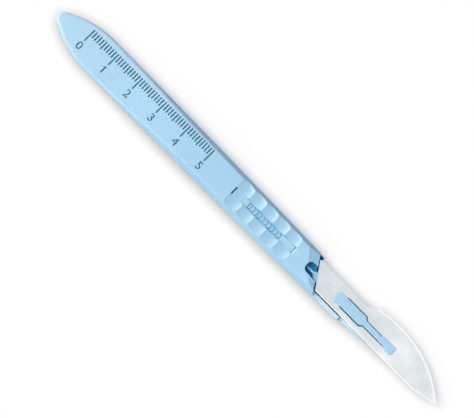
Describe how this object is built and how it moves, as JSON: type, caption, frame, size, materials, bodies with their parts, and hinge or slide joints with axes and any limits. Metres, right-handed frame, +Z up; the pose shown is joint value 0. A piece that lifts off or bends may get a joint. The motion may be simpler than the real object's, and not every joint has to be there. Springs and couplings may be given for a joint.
{
  "type": "disposable scalpel",
  "caption": "Flat moulded scalpel handle with a centimetre ruler, ribbed finger grip and slanted nose, holding a curved fixed steel blade.",
  "frame": {"origin": "bottom centre of the bounding box of the whole scalpel, lying flat with its ruler up", "axes": "+X along the handle towards the blade's tip, +Y towards the side of the cutting edge, +Z up out of the face with the ruler"},
  "size_m": [0.1602, 0.0136, 0.0048],
  "materials": {
    "handle_plastic": "smooth moulded polystyrene in light blue",
    "blade_steel": "rolled stainless steel, ground bright at the cutting edge"
  },
  "bodies": {
    "root": {"handle": "handle_plastic", "blade": "blade_steel"}
  },
  "joints": []
}
